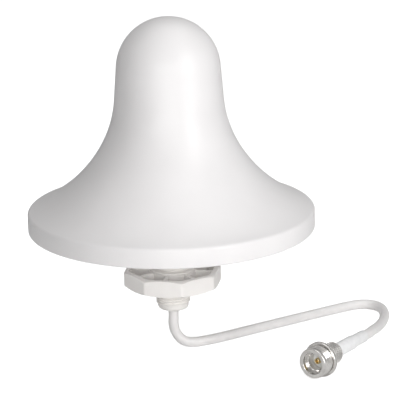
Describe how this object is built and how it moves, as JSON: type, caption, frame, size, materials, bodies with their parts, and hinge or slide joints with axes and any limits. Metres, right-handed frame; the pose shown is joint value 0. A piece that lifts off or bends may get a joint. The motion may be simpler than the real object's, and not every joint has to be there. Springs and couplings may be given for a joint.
{
  "type": "ceiling dome antenna of a signal booster",
  "caption": "White bell-shaped ceiling antenna of a signal booster, on a hollow threaded stud with a screw-on mounting nut and a coaxial pigtail ending in a jack.",
  "frame": {"origin": "centre of the base's underside, where the threaded stud leaves it", "axes": "+Z along the stud's axis up through the dome's apex; +X towards the side the pigtail runs to, +Y away from the jack's mouth"},
  "size_m": [0.1945, 0.15, 0.1797],
  "materials": {
    "white_abs": "satin injection moulded ABS",
    "white_abs_nut": "satin injection moulded ABS",
    "white_nylon": "satin moulded nylon",
    "zinc_steel": "zinc plated steel screws",
    "grommet_rubber": "soft white rubber",
    "aluminium_sheet": "mill finish sheet",
    "brass": "turned brass",
    "ptfe": "waxy white PTFE",
    "tinned_brass": "spun sheet, tin plated",
    "tinned_copper": "tinned copper wire",
    "cable_pvc": "white PVC jacket",
    "heat_shrink_white": "white polyolefin sleeve",
    "nickel_plate": "bright nickel plate on turned brass",
    "gold_plate": "gold plate on bronze",
    "solder": "bright solder"
  },
  "bodies": {
    "antenna": {"radome": "white_abs", "base_plate": "white_abs", "radome_screws": "zinc_steel", "threaded_stud": "white_nylon", "stud_screws": "zinc_steel", "cable_grommet": "grommet_rubber", "ground_plane": "aluminium_sheet", "ground_plane_screws": "zinc_steel", "feed_bush": "brass", "feed_insulator": "ptfe", "radiator_cone": "tinned_brass", "radiator_sleeve": "tinned_brass", "radiator_cap": "tinned_brass", "radiator_posts": "white_nylon", "post_screws": "zinc_steel", "shorting_strips": "tinned_brass", "coax_jacket": "cable_pvc", "coax_braid": "tinned_copper", "coax_dielectric": "ptfe", "coax_core": "tinned_copper", "feed_solder": "solder", "cable": "cable_pvc", "heat_shrink": "heat_shrink_white", "crimp_ferrule": "nickel_plate", "clamp_collar": "nickel_plate", "jack_body": "nickel_plate", "jack_insulator": "ptfe", "jack_contact": "gold_plate"},
    "washer": {"slip_washer": "white_nylon"},
    "nut": {"mounting_nut": "white_abs_nut"}
  },
  "joints": [
    {"name": "nut_travel", "type": "slide", "parent": "antenna", "child": "washer", "axis": [0, 0, 1], "range_m": [-0.009, 0.0165]},
    {"name": "nut_turn", "type": "hinge", "parent": "washer", "child": "nut", "pos_m": [0, 0, -0.0274], "axis": [0, 0, 1], "range_deg": [-2160, 3960]}
  ],
  "couplings": [
    {"joint": "nut_travel", "follows": "nut_turn", "m_per_rad": 0.00023873}
  ]
}
